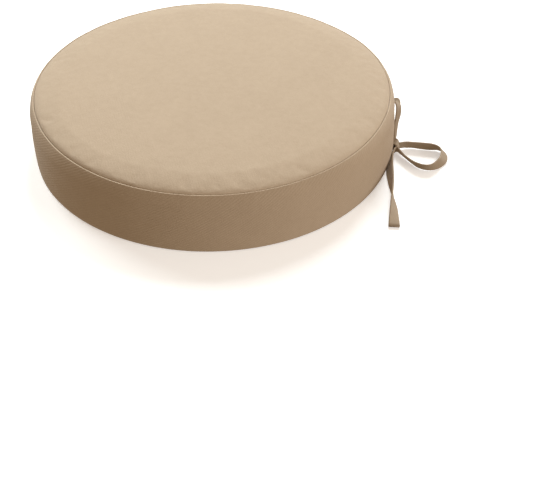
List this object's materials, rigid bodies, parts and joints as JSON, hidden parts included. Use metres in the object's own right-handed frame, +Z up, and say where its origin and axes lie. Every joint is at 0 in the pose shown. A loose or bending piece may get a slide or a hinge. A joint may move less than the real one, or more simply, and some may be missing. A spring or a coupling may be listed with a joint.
{
  "type": "chair seat pad",
  "caption": "Round box-edge foam seat pad in plain woven cloth, with a zip in its rear band and a pair of tie straps on each side.",
  "frame": {"origin": "centre of the flat underside, on the surface the pad rests on", "axes": "+Z up through the pad's thickness, +Y towards the rear, where the zip and the tie straps are, +X to the right seen from the front"},
  "size_m": [0.5122, 0.4191, 0.0745],
  "materials": {
    "cover_cloth": "matt woven cotton and linen look, beige",
    "foam": "open-cell polyurethane foam, off-white",
    "wadding": "polyester fibre wadding, white",
    "thread": "spun polyester thread, matched to the cloth",
    "zip_tape": "woven polyester tape",
    "zip_nylon": "nylon coil, matched to the cloth",
    "zip_metal": "painted zinc alloy, satin, matched to the tape"
  },
  "bodies": {
    "pad": {"top_panel": "cover_cloth", "bottom_panel": "cover_cloth", "front_band": "cover_cloth", "rear_band_upper": "cover_cloth", "rear_band_lower": "cover_cloth", "right_tie_a": "cover_cloth", "right_tie_b": "cover_cloth", "left_tie_a": "cover_cloth", "left_tie_b": "cover_cloth", "foam_core": "foam", "wadding_top": "wadding", "wadding_bottom": "wadding", "top_seam_thread": "thread", "bottom_seam_thread": "thread", "upright_seam_thread": "thread", "zip_stitch_upper": "thread", "zip_stitch_lower": "thread", "zip_tape_upper": "zip_tape", "zip_tape_lower": "zip_tape", "zip_coil_upper": "zip_nylon", "zip_coil_lower": "zip_nylon", "zip_top_stop": "zip_metal", "zip_bottom_stop": "zip_metal"},
    "slider": {"zip_slider": "zip_metal"},
    "pull": {"zip_pull": "zip_metal"}
  },
  "joints": [
    {"name": "slider_travel", "type": "hinge", "parent": "pad", "child": "slider", "pos_m": [0, 0, 0.031], "axis": [0, 0, 1], "range_deg": [0, 66.4]},
    {"name": "pull_swing", "type": "hinge", "parent": "slider", "child": "pull", "pos_m": [0.1122, 0.17145, 0.031], "axis": [0, 0, -1], "range_deg": [0, 180]}
  ]
}
